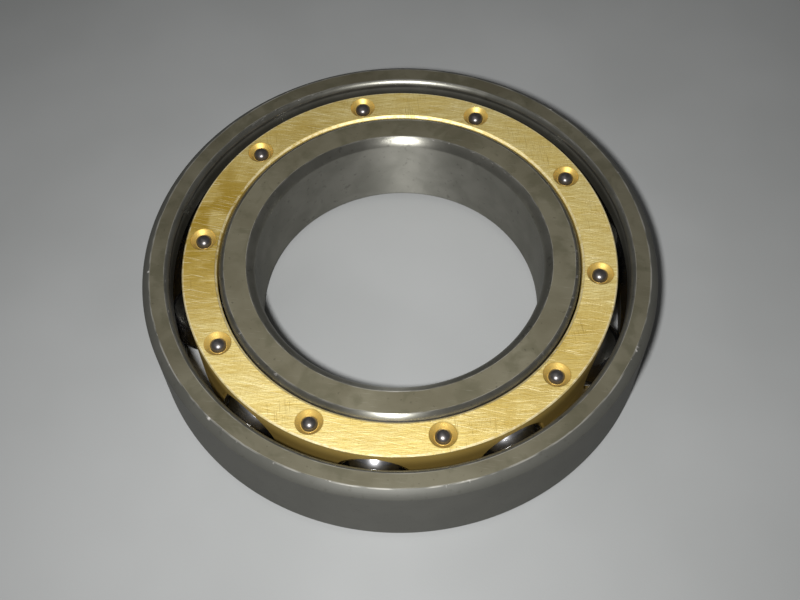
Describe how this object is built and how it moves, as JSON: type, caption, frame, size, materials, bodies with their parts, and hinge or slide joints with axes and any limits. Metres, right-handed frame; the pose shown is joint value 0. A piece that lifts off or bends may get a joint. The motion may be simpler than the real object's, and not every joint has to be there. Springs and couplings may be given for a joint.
{
  "type": "deep-groove ball bearing",
  "caption": "Open deep-groove ball bearing: ground steel inner and outer rings run on balls that a machined, riveted brass cage keeps apart, for a shaft in a housing.",
  "frame": {"origin": "centre of the bearing, where the bore axis meets the mid-plane of the rings", "axes": "+Z along the bore axis, towards the side face that looks up as the bearing lies flat; +X through the centre of ball_01"},
  "size_m": [0.16, 0.16, 0.03],
  "materials": {
    "ring_steel": "ground hardened bearing steel, satin, lightly stained and nicked at its edges",
    "cage_brass": "machined brass, faces dressed with abrasive cloth, densely scratched",
    "ball_steel": "lapped bearing steel, mirror bright",
    "rivet_steel": "dark formed steel, smooth domed heads"
  },
  "bodies": {
    "outer_ring": {"outer_ring": "ring_steel"},
    "inner_ring": {"inner_ring": "ring_steel"},
    "cage": {"cage_upper": "cage_brass", "cage_lower": "cage_brass", "rivet_01": "rivet_steel", "rivet_02": "rivet_steel", "rivet_03": "rivet_steel", "rivet_04": "rivet_steel", "rivet_05": "rivet_steel", "rivet_06": "rivet_steel", "rivet_07": "rivet_steel", "rivet_08": "rivet_steel", "rivet_09": "rivet_steel", "rivet_10": "rivet_steel"},
    "ball_01": {"ball_01": "ball_steel"},
    "ball_02": {"ball_02": "ball_steel"},
    "ball_03": {"ball_03": "ball_steel"},
    "ball_04": {"ball_04": "ball_steel"},
    "ball_05": {"ball_05": "ball_steel"},
    "ball_06": {"ball_06": "ball_steel"},
    "ball_07": {"ball_07": "ball_steel"},
    "ball_08": {"ball_08": "ball_steel"},
    "ball_09": {"ball_09": "ball_steel"},
    "ball_10": {"ball_10": "ball_steel"}
  },
  "joints": [
    {"name": "inner_spin", "type": "hinge", "parent": "outer_ring", "child": "inner_ring", "pos_m": [0, 0, 0], "axis": [0, 0, 1], "continuous": true},
    {"name": "cage_spin", "type": "hinge", "parent": "outer_ring", "child": "cage", "pos_m": [0, 0, 0], "axis": [0, 0, 1], "continuous": true},
    {"name": "ball_01_spin", "type": "hinge", "parent": "cage", "child": "ball_01", "pos_m": [0.0625, 0, 0], "axis": [0, 0, 1], "continuous": true},
    {"name": "ball_02_spin", "type": "hinge", "parent": "cage", "child": "ball_02", "pos_m": [0.05056, 0.03674, 0], "axis": [0, 0, 1], "continuous": true},
    {"name": "ball_03_spin", "type": "hinge", "parent": "cage", "child": "ball_03", "pos_m": [0.01931, 0.05944, 0], "axis": [0, 0, 1], "continuous": true},
    {"name": "ball_04_spin", "type": "hinge", "parent": "cage", "child": "ball_04", "pos_m": [-0.01931, 0.05944, 0], "axis": [0, 0, 1], "continuous": true},
    {"name": "ball_05_spin", "type": "hinge", "parent": "cage", "child": "ball_05", "pos_m": [-0.05056, 0.03674, 0], "axis": [0, 0, 1], "continuous": true},
    {"name": "ball_06_spin", "type": "hinge", "parent": "cage", "child": "ball_06", "pos_m": [-0.0625, 0, 0], "axis": [0, 0, 1], "continuous": true},
    {"name": "ball_07_spin", "type": "hinge", "parent": "cage", "child": "ball_07", "pos_m": [-0.05056, -0.03674, 0], "axis": [0, 0, 1], "continuous": true},
    {"name": "ball_08_spin", "type": "hinge", "parent": "cage", "child": "ball_08", "pos_m": [-0.01931, -0.05944, 0], "axis": [0, 0, 1], "continuous": true},
    {"name": "ball_09_spin", "type": "hinge", "parent": "cage", "child": "ball_09", "pos_m": [0.01931, -0.05944, 0], "axis": [0, 0, 1], "continuous": true},
    {"name": "ball_10_spin", "type": "hinge", "parent": "cage", "child": "ball_10", "pos_m": [0.05056, -0.03674, 0], "axis": [0, 0, 1], "continuous": true}
  ],
  "couplings": [
    {"joint": "cage_spin", "follows": "inner_spin", "ratio": 0.4111},
    {"joint": "ball_01_spin", "follows": "inner_spin", "ratio": -2.7232},
    {"joint": "ball_02_spin", "follows": "inner_spin", "ratio": -2.7232},
    {"joint": "ball_03_spin", "follows": "inner_spin", "ratio": -2.7232},
    {"joint": "ball_04_spin", "follows": "inner_spin", "ratio": -2.7232},
    {"joint": "ball_05_spin", "follows": "inner_spin", "ratio": -2.7232},
    {"joint": "ball_06_spin", "follows": "inner_spin", "ratio": -2.7232},
    {"joint": "ball_07_spin", "follows": "inner_spin", "ratio": -2.7232},
    {"joint": "ball_08_spin", "follows": "inner_spin", "ratio": -2.7232},
    {"joint": "ball_09_spin", "follows": "inner_spin", "ratio": -2.7232},
    {"joint": "ball_10_spin", "follows": "inner_spin", "ratio": -2.7232}
  ]
}
